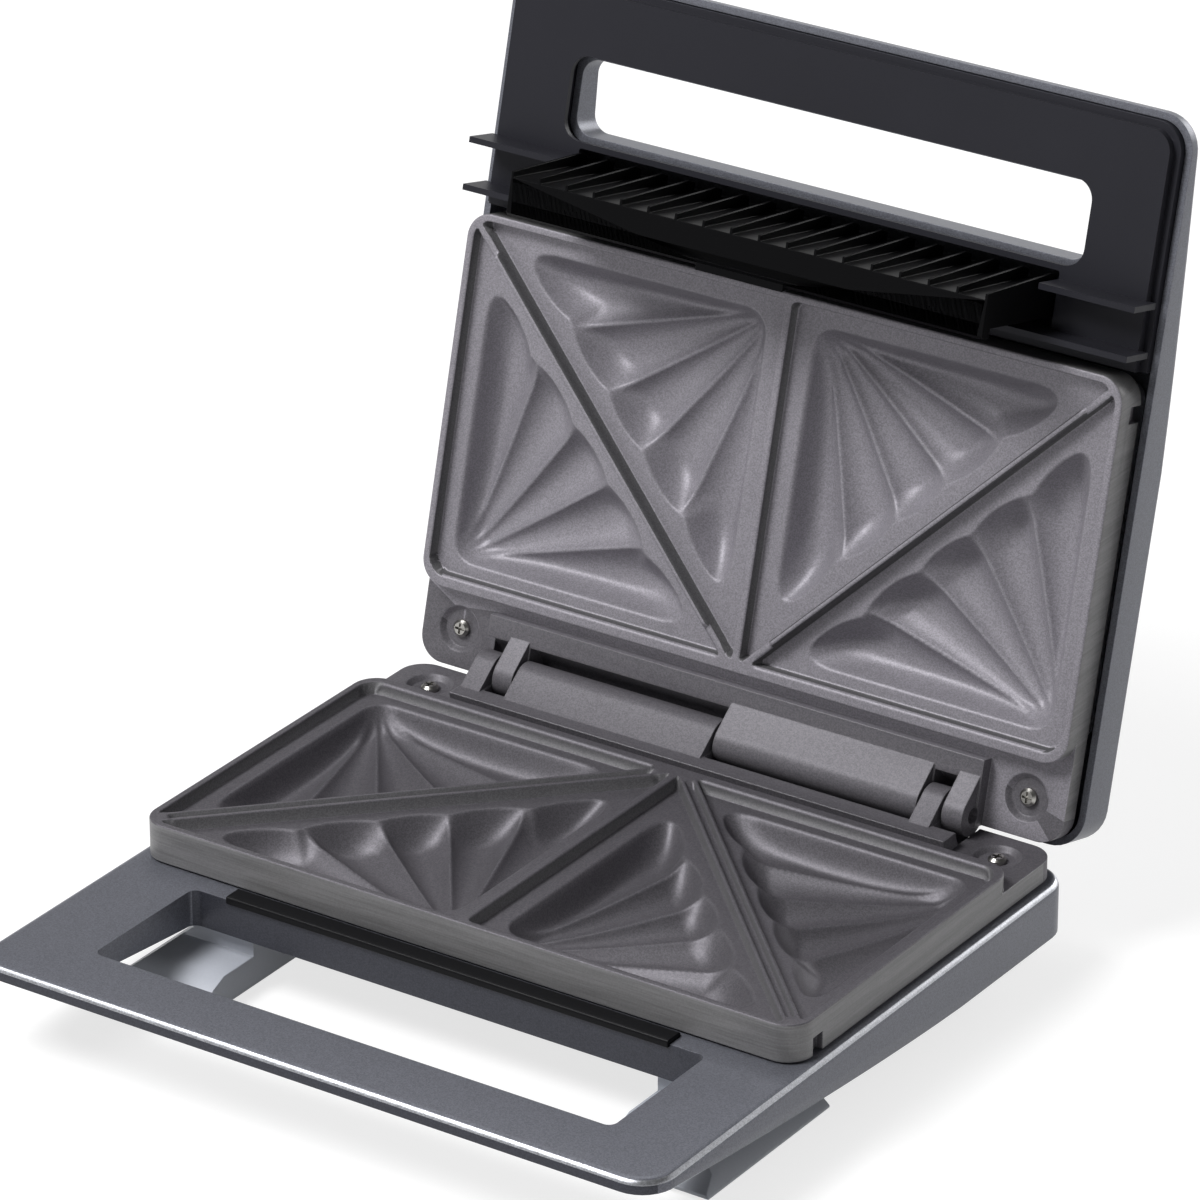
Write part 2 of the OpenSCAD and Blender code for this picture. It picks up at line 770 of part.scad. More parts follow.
// Cross section shared by all the feet: upright inside, flared outside
module foot_section(y0, y1) {
  rotate([90, 0, 0]) translate([0, 0, -y1]) linear_extrude(y1 - y0) {
    polygon([
      [leg_in, -axis_z + pad_t], [leg_out, -axis_z + pad_t], [leg_out, -axis_z + pad_t + 1],
      [leg_top, -floor_z + 2], [leg_top, 0], [leg_in, 0]
    ]);
  }
}

// Front leg, on the right: under the handle arm, sloping to the front
module leg() {
  shelf = -latch_reach - pass_gap - 0.6;
  // the upper part stands behind the latch's hook when it has swung in
  step = (latch_reach + pivot_h) * sin(latch_swing) + pass_gap + 0.4 - hook_y;
  difference() {
    intersection() {
      foot_section(-leg_front, -leg_back);
      side_profile(leg_in - 1, leg_out + 1, [
        [-leg_back + 2, -axis_z], [-leg_front + 1, -axis_z], [-leg_front, -axis_z + 3],
        [-leg_front + 8, shelf - 6.4], [-leg_front + 11, shelf - 2.4], [-leg_front + 17, shelf],
        [step, shelf], [step, 0], [-leg_back, 0]
      ]);
    }
    above_underside(0, body_x);
  }
}

module leg_right() {
  color("#9a9da3") on_base() leg();
}

module leg_left() {
  color("#9a9da3") on_base() mirror([1, 0, 0]) leg();
}

module rear_feet() {
  back = body_rear + 1;
  front = back - rear_foot_d;
  color("#9a9da3") on_base() mirrored() intersection() {
    foot_section(front, back);
    side_profile(leg_in - 1, leg_out + 1, [
      [front, -floor_z], [front, -axis_z + 3], [front + 2, -axis_z], [back - 3, -axis_z],
      [back, -axis_z + 3], [back, -floor_z]
    ]);
  }
}

module foot_pads() {
  color(black) on_base() mirrored() {
    for (y = [[-leg_front + 4, -leg_back - 4], [body_rear - rear_foot_d + 6, body_rear - 5]]) {
      block(leg_in + 3, leg_out - 3, y[0], y[1], -axis_z, -axis_z + pad_t);
    }
  }
}

module cord_gland() {
  color(black) on_base() translate([gland_x, body_rear, gland_z]) rotate([-90, 0, 0]) difference() {
    union() {
      translate([0, 0, -wall - 4]) cylinder(h = wall + 4, r = gland_r - 0.1);
      translate([0, 0, -wall - 4]) cylinder(h = 3.8, r = gland_r + 0.7);
      cylinder(h = 2, r = gland_r + 2);
      translate([0, 0, 2]) cylinder(h = 10, r1 = gland_r - 0.6, r2 = gland_r - 2);
    }
    translate([0, 0, -wall - 5]) cylinder(h = 20, r = 3);
  }
}

module terminal_block() {
  color("#efe9dc") on_base() translate([gland_x + 14, -field_rear + 6, -floor_z + cover_t]) difference() {
    cube([30, 11, 10]);
    for (i = [0 : 2]) {
      translate([5 + 10 * i, 5.5, 4]) cylinder(h = 8, r = 2);
    }
  }
}

// ---- lid housing ----

module lid_outer() {
  hull() {
    mirrored() {
      translate([body_x - body_r, body_rear - 2 - body_r, edge_z]) post(lid_h);
      translate([body_x - body_r, body_r - body_front, edge_z]) post(lid_tip);
      for (y = along(lid_flat, body_front - body_r)) {
        translate([body_x - body_r, -y, lid_over(y + body_r - edge_r) - edge_r]) post_cap();
      }
    }
  }
}

module post_cap() {
  intersection() {
    rotate_extrude($fn = 32) {
      translate([body_r - edge_r, 0]) circle(edge_r, $fn = 32);
      square([body_r - edge_r, edge_r]);
    }
    translate([-body_r, -body_r, 0]) cube([2 * body_r, 2 * body_r, edge_r]);
  }
}

// Space below a curve that follows the lid's top, lowered by drop
module below_top(drop, x) {
  ys = concat([-body_rear - 5], along(lid_flat, body_front + 5));
  side_profile(-x, x, concat(
    [for (y = ys) [-y, lid_over(min(y, body_front)) - drop]],
    [[-body_front - 5, 0], [body_rear + 5, 0]]
  ));
}

lamp_at = [[-lamp_x, -lamp_y], [lamp_x, -lamp_y]];

module lid_casing() {
  color(silver) on_lid() difference() {
    lid_outer();
    difference() {
      intersection() {
        slab(body_x - wall, wall - body_front, body_rear - 2 - wall, edge_z - 1, floor_z, body_r - wall);
        below_top(wall, body_x);
      }
      grip_hole(lid_grip_near, lid_grip_far, wall, 0, floor_z + 2);
      mirrored() translate([screw_x, -screw_y, edge_z + 0.1]) cylinder(h = floor_z, r = post_r);
    }
    grip_hole(lid_grip_near, lid_grip_far, 0, 0, floor_z + 2);
    mirrored() translate([screw_x, -screw_y, 0]) {
      cylinder(h = -plate_bottom - well_skin + screw_len + 1, r = thread_r + 0.2);
    }
    for (p = lamp_at) {
      translate([p.x, p.y, edge_z]) cylinder(h = floor_z, r = lamp_r + 0.1);
    }
  }
}

module lamp_lenses() {
  color("#b03a2e") on_lid() for (p = lamp_at) {
    top = lid_over(-p.y);
    translate([p.x, p.y, top - wall - 3]) cylinder(h = wall + 2.8, r = lamp_r);
    translate([p.x, p.y, top - wall - 4.5]) cylinder(h = 1.6, r = lamp_r + 1.3);
  }
}

liner_z = edge_z - liner_drop;
liner_x = body_x - wall - 0.2;
slot_x = latch_x + 1.5;
slot_far = fin_front + 2.6;

module lid_liner() {
  front = wall + 0.2 - body_front;
  back = -plate_front - 1.6;
  color(black) on_lid() {
    difference() {
      union() {
        slab(liner_x - liner_step, front + liner_step, back + 20, liner_z, edge_z, body_r - wall - liner_step);
        slab(liner_x, front, back + 20, edge_z - 2.4, edge_z + 1.6, body_r - wall);
      }
      block(-body_x, body_x, back, back + 30, 0, floor_z);
      // hollow above the liner's face, opened around the grip and the latch
      difference() {
        slab(liner_x - liner_step - liner_t, front + liner_step + liner_t, back - liner_t, liner_z + liner_t, edge_z + 4, 4);
        grip_hole(lid_grip_near, lid_grip_far, wall + 0.2 + liner_t, 0, floor_z);
      }
      grip_hole(lid_grip_near, lid_grip_far, wall + 0.2, liner_z + liner_t, floor_z);
      grip_hole(lid_grip_near, lid_grip_far, 1.4, 0, floor_z);
      slab(slot_x, -slot_far, -fin_rear - fin_t, 0, floor_z, 0.8);
    }
    // walls that stand down from the liner's face: two short ones and a long one
    mirrored() {
      block(slot_x, half_w + 1.4, -fin_front, fin_t - fin_front, liner_z - fin_h, liner_z + 1);
    }
    block(-half_w - 1.4, half_w + 1.4, -fin_rear - fin_t, -fin_rear, liner_z - fin_h, liner_z + 1);
    // cheeks that carry the latch's trunnions
    mirrored() difference() {
      block(slot_x, slot_x + 3, -pivot_y - 5, -pivot_y + 5, liner_z + 0.5, pivot_h + 5);
      translate([0, -pivot_y, pivot_h]) rod(slot_x - 1, slot_x + 4, trunnion_r + 0.08);
    }
  }
}

// ---- latch ----

latch_top = pivot_h + 3;
hook_z = base_under(base_grip_near) - hook_drop;
pass_r = norm([base_grip_near, base_under(base_grip_near)]) + pass_gap;
catch_y = sqrt(pass_r * pass_r - latch_reach * latch_reach);
hook_y = catch_y + catch_proud;

// Distance in front of the hinge axis at which height z just clears the base opening
function pass_y(z) = sqrt(pass_r * pass_r - z * z);

module latch() {
  color("#17171a") on_lid() {
    difference() {
      union() {
        // body between the front and back faces, with a sloped grip side
        side_profile(-latch_x, latch_x, [
          [-latch_face, -latch_reach], [-latch_face - 1.4, latch_top - 4], [-latch_face + 1, latch_top],
          [-latch_back, latch_top], [-latch_back, hook_z], [-hook_y, hook_z],
          [-hook_y, -latch_reach + 1], [-hook_y - 1, -latch_reach]
        ]);
        side_profile(-catch_w / 2, catch_w / 2, [
          [-hook_y - 1, -latch_reach], [-hook_y - 1, hook_z], [-pass_y(hook_z), hook_z],
          [-pass_y(hook_z - 2), hook_z - 2], [-catch_y, -latch_reach]
        ]);
      }
      // hollow above the hook, and a channel in the hook's end
      block(-latch_x + latch_t, latch_x - latch_t, latch_t - latch_face, -latch_back - latch_t, hook_z, latch_top - 3);
      block(-latch_x + latch_t, latch_x - latch_t, -latch_back - 1.6, -hook_y - 1.2, -latch_reach - 1, hook_z - 1.6);
    }
    // grip ribs, taller toward the root
    pitch = (2 * latch_x - rib_t) / (ribs + 1);
    for (i = [0 : ribs + 1]) {
      x = -latch_x + pitch * i;
      side_profile(x, x + rib_t, [
        [-latch_face + 0.5, -latch_reach], [-latch_face - rib_h, -latch_reach],
        [-latch_face - rib_h - 3, liner_z - 2], [-latch_face - rib_h - 2, liner_z + 2],
        [-latch_face, liner_z + 2]
      ]);
    }
    mirrored() translate([0, -pivot_y, pivot_h]) rod(latch_x - eps, slot_x + 2.6, trunnion_r);
  }
}

// Torsion springs that hold the latch against its stop
module latch_springs() {
  wire_r = 0.45;
  color("silver") on_lid() mirrored() translate([slot_x + 4.2, -pivot_y, pivot_h]) {
    for (i = [0 : 2]) {
      translate([2.4 * wire_r * i, 0, 0]) rotate([0, 90, 0]) rotate_extrude() {
        translate([trunnion_r + wire_r + 0.3, 0]) circle(wire_r, $fn = 16);
      }
    }
  }
}

base_casing();
base_cover();
lower_plate();
lower_element();
lower_shield();
latch_keeper();
leg_left();
leg_right();
rear_feet();
foot_pads();
hinge_pin();
lower_screws();
cover_screws();
cord_gland();
terminal_block();
lid_casing();
lid_liner();
upper_plate();
upper_element();
upper_shield();
upper_screws();
thermostat();
thermal_fuse();
lamp_lenses();
latch_springs();
latch();
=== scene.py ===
"""Dresses a two-cell sandwich toaster: cast plates, softened housings, finishes, light and camera."""

import json
import math

import bmesh
import bpy
import numpy as np
from mathutils import Matrix, Vector


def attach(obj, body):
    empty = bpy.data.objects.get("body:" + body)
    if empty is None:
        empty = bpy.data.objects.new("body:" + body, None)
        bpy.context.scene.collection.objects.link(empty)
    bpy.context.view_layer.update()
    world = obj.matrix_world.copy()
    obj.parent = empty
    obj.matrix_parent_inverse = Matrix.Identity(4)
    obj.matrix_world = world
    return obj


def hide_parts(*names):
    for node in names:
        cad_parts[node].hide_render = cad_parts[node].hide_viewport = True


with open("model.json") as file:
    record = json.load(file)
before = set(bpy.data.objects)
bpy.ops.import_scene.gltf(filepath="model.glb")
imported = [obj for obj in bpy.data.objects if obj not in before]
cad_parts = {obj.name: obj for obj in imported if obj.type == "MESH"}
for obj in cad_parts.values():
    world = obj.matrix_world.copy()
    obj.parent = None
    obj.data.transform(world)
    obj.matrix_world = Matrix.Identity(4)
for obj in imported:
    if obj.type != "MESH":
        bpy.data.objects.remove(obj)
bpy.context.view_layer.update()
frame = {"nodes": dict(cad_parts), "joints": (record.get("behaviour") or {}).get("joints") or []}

bl_info = {
    "name": "Sandwich toaster dressing",
    "version": (1, 0, 0),
    "blender": (4, 5, 0),
    "location": "View3D > Sidebar > Toaster",
    "description": "Cast plates, softened housings, finishes and a studio for a sandwich toaster",
    "category": "Object",
}

MM = 0.001
HINGE = next(joint for joint in frame["joints"] if joint["name"] == "lid_hinge")
HINGE_AT = Vector(HINGE["pos_m"])
LID_OPEN = math.radians(HINGE["range_deg"][1])
FLAT_ANGLE = math.radians(0.3)  # faces within this angle count as one flat face
SHARP_DEG = 35  # edges sharper than this are rounded and shaded sharp
PLATE_SHARP_DEG = 50  # edges of the plates are shaded sharp from this angle on


# ---- shader arithmetic ----


class Field:
    """A value in a material that can be used in ordinary arithmetic."""

    def __init__(self, finish, socket):
        self.finish = finish
        self.socket = socket

    def _math(self, operation, *values):
        settings = {"operation": operation}
        return self.finish.node("ShaderNodeMath", settings, dict(enumerate(values)))

    def __add__(self, other):
        return self._math("ADD", self, other)

    def __rsub__(self, other):
        return self._math("SUBTRACT", other, self)

    def __mul__(self, other):
        return self._math("MULTIPLY", self, other)

    __radd__ = __add__
    __rmul__ = __mul__

    def above(self, low, high):
        """0 below low, 1 above high, smooth between."""
        settings = {"interpolation_type": "SMOOTHSTEP"}
        inputs = {"Value": self, "From Min": low, "From Max": high}
        return self.finish.node("ShaderNodeMapRange", settings, inputs)

    def most(self, other):
        """The larger of two values."""
        return self._math("MAXIMUM", self, other)


class Finish:
    """One material, built from nodes."""

    def __init__(self, name, **shader):
        self.material = bpy.data.materials.new(name)
        self.material.use_nodes = True
        self.tree = self.material.node_tree
        self.shader = self.tree.nodes["Principled BSDF"]
        for key, value in shader.items():
            self.shader.inputs[key.replace("_", " ").title().replace("Ior", "IOR")].default_value = value
        self.place = self.node("ShaderNodeTexCoord", {}, {}, "Object")

    def node(self, kind, settings, inputs, output=0):
        """A new shader node with its settings and inputs, as the value of one of its outputs."""
        made = self.tree.nodes.new(kind)
        for key, value in settings.items():
            setattr(made, key, value)
        for key, value in inputs.items():
            if isinstance(value, Field):
                self.tree.links.new(value.socket, made.inputs[key])
            else:
                made.inputs[key].default_value = value
        return Field(self, made.outputs[output])

    def noise(self, scale, detail=2.0, rough=0.5, stretch=(1, 1, 1), turn=0.0):
        """Noise over the piece; scale is in features per metre, turn is about the hinge's direction."""
        place = self.place
        if stretch != (1, 1, 1):
            inputs = {"Vector": place, "Scale": stretch, "Rotation": (turn, 0, 0)}
            place = self.node("ShaderNodeMapping", {}, inputs)
        inputs = {"Vector": place, "Scale": scale, "Detail": detail, "Roughness": rough}
        return self.node("ShaderNodeTexNoise", {}, inputs)

    def flakes(self, scale):
        """Random value for each small cell of a fleck pattern."""
        return self.node("ShaderNodeTexVoronoi", {}, {"Vector": self.place, "Scale": scale}, "Color")

    def blend(self, factor, low, high):
        """Colour between low and high by factor."""
        mix = self.tree.nodes.new("ShaderNodeMix")
        mix.data_type = "RGBA"
        for key, value in ((0, factor), (6, low), (7, high)):
            if isinstance(value, Field):
                self.tree.links.new(value.socket, mix.inputs[key])
            elif key == 0:
                mix.inputs[0].default_value = value
            else:
                mix.inputs[key].default_value = (*value[:3], 1)
        return Field(self, mix.outputs[2])

    def rounded(self, radius=0.0006):
        """Normal that turns softly over sharp edges."""
        return self.node("ShaderNodeBevel", {"samples": 6}, {"Radius": radius})

    def edge_highlight_mask(self, rounded):
        """1 along edges, from the angle between the true and the rounded normal; it places painted
        highlights.
        """
        flat = self.node("ShaderNodeNewGeometry", {}, {}, "Normal")
        settings = {"operation": "DOT_PRODUCT"}
        dot = self.node("ShaderNodeVectorMath", settings, {0: rounded, 1: flat}, "Value")
        return (1 - dot).above(0.03, 0.3)

    def set(self, socket, value):
        """Gives an input of the shader a value, plain or made by nodes."""
        if isinstance(value, Field):
            self.tree.links.new(value.socket, self.shader.inputs[socket])
        else:
            self.shader.inputs[socket].default_value = value

    def bump(self, height, strength, distance, normal=None):
        """Relief from a height value; distance is in metres."""
        inputs = {"Strength": strength, "Distance": distance, "Height": height}
        if normal:
            inputs["Normal"] = normal
        self.set("Normal", self.node("ShaderNodeBump", {}, inputs))


def shade(colour, amount):
    """The colour made lighter or darker by a factor."""
    return tuple(min(1.0, c * amount) for c in colour[:3])


# ---- finishes ----


def metallic_paint(name, colour, metallic=0.35):
    """Silver paint with fine flakes, a little lighter and darker from fleck to fleck."""
    f = Finish(name, roughness=0.36, metallic=metallic, specular_ior_level=0.3)
    fleck = f.node("ShaderNodeSeparateColor", {}, {0: f.flakes(3000)})
    coarse = f.noise(1400, 2)
    mix = fleck * 0.5 + coarse * 0.5
    f.set("Base Color", f.blend(mix.above(0.15, 0.85), shade(colour, 0.78), shade(colour, 1.22)))
    f.set("Roughness", 0.32 + fleck * 0.1)
    f.bump(fleck, 0.15, 0.00003)
    return f.material


def coating(name, colour, edge, metallic=0.3):
    """Non-stick coating: fine mineral speckle over cast metal, with a painted highlight that lightens
    its edges.
    """
    f = Finish(name, metallic=metallic, roughness=0.5, specular_ior_level=0.3)
    grain = f.noise(1700, 3, 0.7)
    cloud = f.noise(45, 3)
    speck = f.node("ShaderNodeSeparateColor", {}, {0: f.flakes(2600)})
    tone = grain * 0.5 + cloud * 0.15 + speck * 0.35
    base = f.blend(tone.above(0.25, 0.75), shade(colour, 0.8), shade(colour, 1.2))
    rounded = f.rounded()
    # painted highlight: the edges blend toward the lighter edge colour
    f.set("Base Color", f.blend(f.edge_highlight_mask(rounded) * 0.6, base, edge))
    f.set("Roughness", 0.44 + grain * 0.12)
    f.bump(grain * 0.6 + speck * 0.4, 0.35, 0.00005, rounded)
    return f.material


def machined(name, colour, turn):
    """Turned or ground wall of a casting: fine streaks along the wall under a thin coating."""
    f = Finish(name, roughness=0.4, metallic=0.25, specular_ior_level=0.4)
    streaks = f.noise(1500, 4, 0.7, (0.03, 0.03, 1), turn)
    broad = f.noise(350, 2, 0.5, (0.05, 0.05, 1), turn)
    grain = f.noise(1700, 2)
    tone = streaks * 0.5 + broad * 0.3 + grain * 0.2
    rounded = f.rounded()
    base = f.blend(tone.above(0.3, 0.7), shade(colour, 0.72), shade(colour, 1.25))
    # painted highlight: the edges are twice as light
    f.set("Base Color", f.blend(f.edge_highlight_mask(rounded), base, shade(colour, 2)))
    f.set("Roughness", 0.34 + streaks * 0.2)
    f.bump(streaks, 0.3, 0.00004, rounded)
    return f.material


def moulded(name, colour, roughness, grain_scale=1400, gloss=0.35):
    """Moulded plastic with a fine even texture and faint unevenness of colour."""
    f = Finish(name, roughness=roughness, specular_ior_level=gloss)
    grain = f.noise(grain_scale, 3, 0.6)
    cloud = f.noise(30, 2)
    f.set("Base Color", f.blend(cloud * 0.6 + grain * 0.4, shade(colour, 0.86), shade(colour, 1.16)))
    f.set("Roughness", roughness - 0.06 + grain * 0.12)
    f.bump(grain, 0.3, 0.00004)
    return f.material


def bare_metal(name, colour, roughness, stretch=(1, 1, 1)):
    """Metal with fine draw or turning lines."""
    f = Finish(name, metallic=1.0, roughness=roughness)
    lines = f.noise(900, 4, 0.7, stretch)
    f.set("Base Color", f.blend(lines, shade(colour, 0.8), shade(colour, 1.1)))
    f.set("Roughness", roughness - 0.08 + lines * 0.16)
    f.bump(lines, 0.2, 0.00003)
    return f.material


def lamp_lens(looks):
    """Dark red lens, unlit, with a faintly frosted face."""
    f = Finish("lamp_lens", roughness=0.18, coat_weight=0.5)
    frost = f.noise(1500, 2)
    f.set("Base Color", f.blend(frost, shade(looks.lamp, 0.7), shade(looks.lamp, 1.2)))
    f.set("Roughness", 0.14 + frost * 0.1)
    return f.material


# ---- shapes ----


def to_frame(lid):
    """Matrix from millimetres about the hinge axis, lid shut, to the toaster's own frame."""
    turn = Matrix.Rotation(-LID_OPEN, 4, "X") if lid else Matrix.Identity(4)
    return Matrix.Translation(HINGE_AT) @ turn @ Matrix.Scale(MM, 4)


def new_piece(name, bm, body, material, *nodes, sharp_angle):
    """Makes a finished piece from a bmesh, rides it on its body and hides the nodes it stands for."""
    mesh = bpy.data.meshes.new(name)
    bm.to_mesh(mesh)
    bm.free()
    mesh.materials.append(material)
    piece = bpy.data.objects.new(name, mesh)
    bpy.context.scene.collection.objects.link(piece)
    mesh.shade_smooth()
    mesh.set_sharp_from_angle(angle=math.radians(sharp_angle))
    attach(piece, body)
    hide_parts(*nodes)
    return piece


def node_bmesh(node):
    """A merged copy of a node's mesh with its flat faces joined again."""
    bm = bmesh.new()
    bm.from_mesh(frame["nodes"][node].data)
    bmesh.ops.remove_doubles(bm, verts=bm.verts, dist=1e-6)
    join_flat_faces(bm)
    return bm


def join_flat_faces(bm):
    """Dissolves the edges between faces that lie in one plane."""
    bmesh.ops.dissolve_limit(bm, angle_limit=FLAT_ANGLE, verts=bm.verts, edges=bm.edges)


def soften(node, body, material, width, segments=3):
    """Replaces a node with a copy whose edges are rounded, as moulding leaves them."""
    piece = new_piece(node + "_soft", node_bmesh(node), body, material, node, sharp_angle=SHARP_DEG)
    bevel = piece.modifiers.new("rounded edges", "BEVEL")
    bevel.width = width
    bevel.segments = segments
    bevel.limit_method = "ANGLE"
    bevel.angle_limit = math.radians(SHARP_DEG)
    bevel.harden_normals = True
    bevel.use_clamp_overlap = True
    return piece


# details of the cooking faces, in millimetres unless a comment says otherwise
RIM_TOP = -0.2  # level below the parting plane
RIM_WIDTH = 2.6
RIM_ROUND = 0.6  # radius of its outer edge
RIM_BLEND = 2.4  # rounding where the ridge meets the rim
REAR_RIM_MORE = 1.6  # how much wider the rear rim is
RIDGE_HALF = 1.4  # half the width of the ridge between the cells
WALL_SPAN = (-0.1, 0.3)  # rim walls start and end here, from the rim's edge inward
FIELD_SPAN = (0.4, 1.8)  # shells fade in over this span
SEAM_BLEND = 1.8  # rounding where the seam meets the rim
GROOVE_DEEP = 2.2
GROOVE_HALF = 1.3  # half the width of its floor
GROOVE_SIDE = (GROOVE_HALF, 1.56)  # its walls, aside from the seam's middle
GROOVE_ENDS = (9, 12)  # it deepens over this distance from the seam's ends
BLADE_HIGH = 1.2  # above the rim
BLADE_SIDE = (0.5, 1.3)  # its slopes, aside from the seam's middle
BLADE_ENDS = (17.8, 18.4)  # it rises over this distance from the seam's ends
CORNER_RISE = 0.3  # rise at a shell's right-angle corner, as a share of the depth
CORNER_REACH = 60  # along both legs together
CORNER_BLEND = 9  # rounding of that corner
BULGE_BLEND = 1.0  # rounding between the bulges at the flutes' ends
FLUTE_START = 4  # flutes grow wider from here on
ROUND_SHARE = 0.9  # share of a flute's radius that is round
SIDE_SLOPE = 2  # rise over run of a flute's straight sides
CREASE_BLEND = 0.6  # rounding of the creases between flutes
TIP_BLEND = 1.2  # share of the slope's width

COATING, OUTER_WALL, RIM_WALL, KNUCKLE = range(4)  # a plate's finishes, in order

# where a plate's own mesh gives way to the modelled face, in millimetres
CUT_BEHIND = 0.02  # behind the rear rim
WELL_INSIDE = 1  # farther inside the outline than this is rim or field
POCKET_LEVEL = -6.5  # sunk faces above this are the old field's
FIELD_LEVEL = -4.55  # rim walls end above this
LEVEL_NORMAL = 0.02  # faces that look up at all have a larger upward part
WALL_START = 3  # outer walls start this far in front of the rear rim
WALL_NEAR = 0.3  # and lie this near the outline
WALL_NORMAL = 0.3  # upward part of their faces' direction at most
RIM_WALL_NORMAL = 0.5  # and of the rim walls' faces

# the grid under a cooking face, in millimetres
INNER_ROWS = (0, RIM_ROUND, 1, 1.38, 1.7, 2.2, 2.8, 3.5, 4.15, 4.5, 5.2)  # from the middle and the rear
OUTER_ROWS = (5, 4.1, 3.4, 2.9, 2.57, 2.3, 1.8, 1.2, RIM_ROUND, 0)  # before the side and the front
EDGE_BAND = 6  # width of these rows
TOP_GAP = 0.03  # rows beside the seam lie this near a wall's top
FOOT_GAP = 0.28  # and its foot
CROWD_STEPS = 4  # grid steps over which the rows return to even spacing
SHIFT_SPAN = (4, 7)  # distance from the rims over which rows start to move
RIM_ANGLES = (0.35, 0.75, 1.15, math.pi / 2)  # rings round the rim's edge, in radians


def soft_least(a, b, reach):
    """The smaller of two heights, blended over reach."""
    h = np.clip(0.5 + 0.5 * (b - a) / reach, 0, 1)
    return b + (a - b) * h - reach * h * (1 - h)


def ramp(value, low, high):
    """0 below low, 1 above high, smooth between."""
    t = np.clip((value - low) / (high - low), 0, 1)
    return t * t * (3 - 2 * t)


def soft_most(a, b, reach):
    """The larger of two heights, blended over reach."""
    return -soft_least(-a, -b, reach)


def eased(value):
    """0 at 0 and 1 from 1 on, steep at first and level at the end."""
    t = np.clip(value, 0, 1)
    return 1 - (1 - t) ** 2


def shell_depth(a, b, sizes):
    """Height of a fluted shell below its field, from its right-angle corner along its two legs."""
    leg = sizes.shell_leg / MM
    deep = sizes.shell_depth / MM
    bulge = sizes.bulge_radius / MM
    step = (90 - 2 * sizes.fan_edge) / (sizes.flutes - 1)
    # the valleys rise a little toward the right-angle corner
    valley = deep * (1 - CORNER_RISE * np.clip(1 - (a + b) / CORNER_REACH, 0, 1) ** 2)
    long_edge = np.full_like(a, -1e3)
    floor = np.zeros_like(a)
    for i in range(sizes.flutes):
        angle = math.radians(sizes.fan_edge + step * i)
        way = (math.cos(angle), math.sin(angle))
        crown = leg / (way[0] + way[1])
        back = bulge / math.sqrt(2)
        away = np.hypot(a - crown * way[0] + back, b - crown * way[1] + back)
        long_edge = soft_most(long_edge, bulge - away, BULGE_BLEND)
        along = np.maximum(a * way[0] + b * way[1], FLUTE_START)
        aside = np.abs(a * way[1] - b * way[0])
        radius = along * sizes.flute_rise
        near = np.minimum(aside, radius * ROUND_SHARE)
        bowl = -valley + radius - np.sqrt(radius**2 - near**2) + (aside - near) * SIDE_SLOPE
        floor = soft_least(floor, bowl, CREASE_BLEND)
    legs = soft_least(a, b, CORNER_BLEND)
    # one slope all round, with the shell's sharp corners rounded off
    slope = soft_least(legs / (sizes.wall_lean / MM), long_edge / (sizes.tip_lean / MM), TIP_BLEND)
    return floor * eased(slope)


def inside_plate(x, y, sizes, rear_more=0.0):
    """Distance inward from the outline of a plate's raised part, whose corners are round."""
    round_r = sizes.plate_round / MM
    front = sizes.plate_front / MM
    rear = sizes.field_rear / MM + rear_more
    qx = np.abs(x) - (sizes.plate_width / MM / 2 - round_r)
    qy = np.abs(y + (front + rear) / 2) - ((front - rear) / 2 - round_r)
    return round_r - np.hypot(np.maximum(qx, 0), np.maximum(qy, 0)) - np.minimum(np.maximum(qx, qy), 0)


def seam_place(x, y, sizes):
    """Distances along and aside from the seam of the right-hand cell, its whole length and its turn."""
    across = sizes.plate_width / MM / 2
    deep = (sizes.plate_front - sizes.field_rear) / MM
    turn = math.atan2(deep, across)
    back = -sizes.field_rear / MM - y
    along = x * math.cos(turn) + back * math.sin(turn)
    aside = x * math.sin(turn) - back * math.cos(turn)
    return along, aside, math.hypot(deep, across), turn


def field_height(x, y, sizes, seam):
    """Height of the cooking face of the right-hand cell, in millimetres about the hinge axis."""
    half = sizes.plate_width / MM / 2
    front = sizes.plate_front / MM
    rear = sizes.field_rear / MM
    inner = inside_plate(x, y, sizes, REAR_RIM_MORE) - RIM_WIDTH
    edge = soft_least(x - RIDGE_HALF, inner, RIM_BLEND)
    along, aside, whole, turn = seam_place(x, y, sizes)
    aside = np.abs(aside)
    bar = (sizes.seam_width if seam == "groove" else sizes.blade_foot) / MM / 2
    edge = soft_least(edge, aside - bar, SEAM_BLEND)
    wall = RIM_TOP - sizes.rim_height / MM * ramp(edge, *WALL_SPAN)
    inset = sizes.shell_inset / MM
    depth = np.minimum(
        shell_depth(x - inset, y + front - inset, sizes),
        shell_depth(half - inset - x, -rear - inset - y, sizes),
    )
    height = wall + depth * ramp(edge, *FIELD_SPAN)
    from_end = np.minimum(along, whole - along)
    if seam == "groove":
        return height - GROOVE_DEEP * ramp(from_end, *GROOVE_ENDS) * (1 - ramp(aside, *GROOVE_SIDE))
    return height + BLADE_HIGH * ramp(from_end, *BLADE_ENDS) * (1 - ramp(aside, *BLADE_SIDE))


def crowd(aside, step, edges):
    """Moves the grid's rows beside the seam onto the feet and tops of its walls."""
    rows, places = [0.0], [0.0]
    for edge in edges:
        row = math.floor(edge / step) * step
        rows += [row, row + step]
        places += [edge - TOP_GAP, edge + FOOT_GAP]
    rows.append(rows[-1] + CROWD_STEPS * step)
    places.append(rows[-1])
    return np.where(aside > rows[-1], aside, np.interp(aside, rows, places))


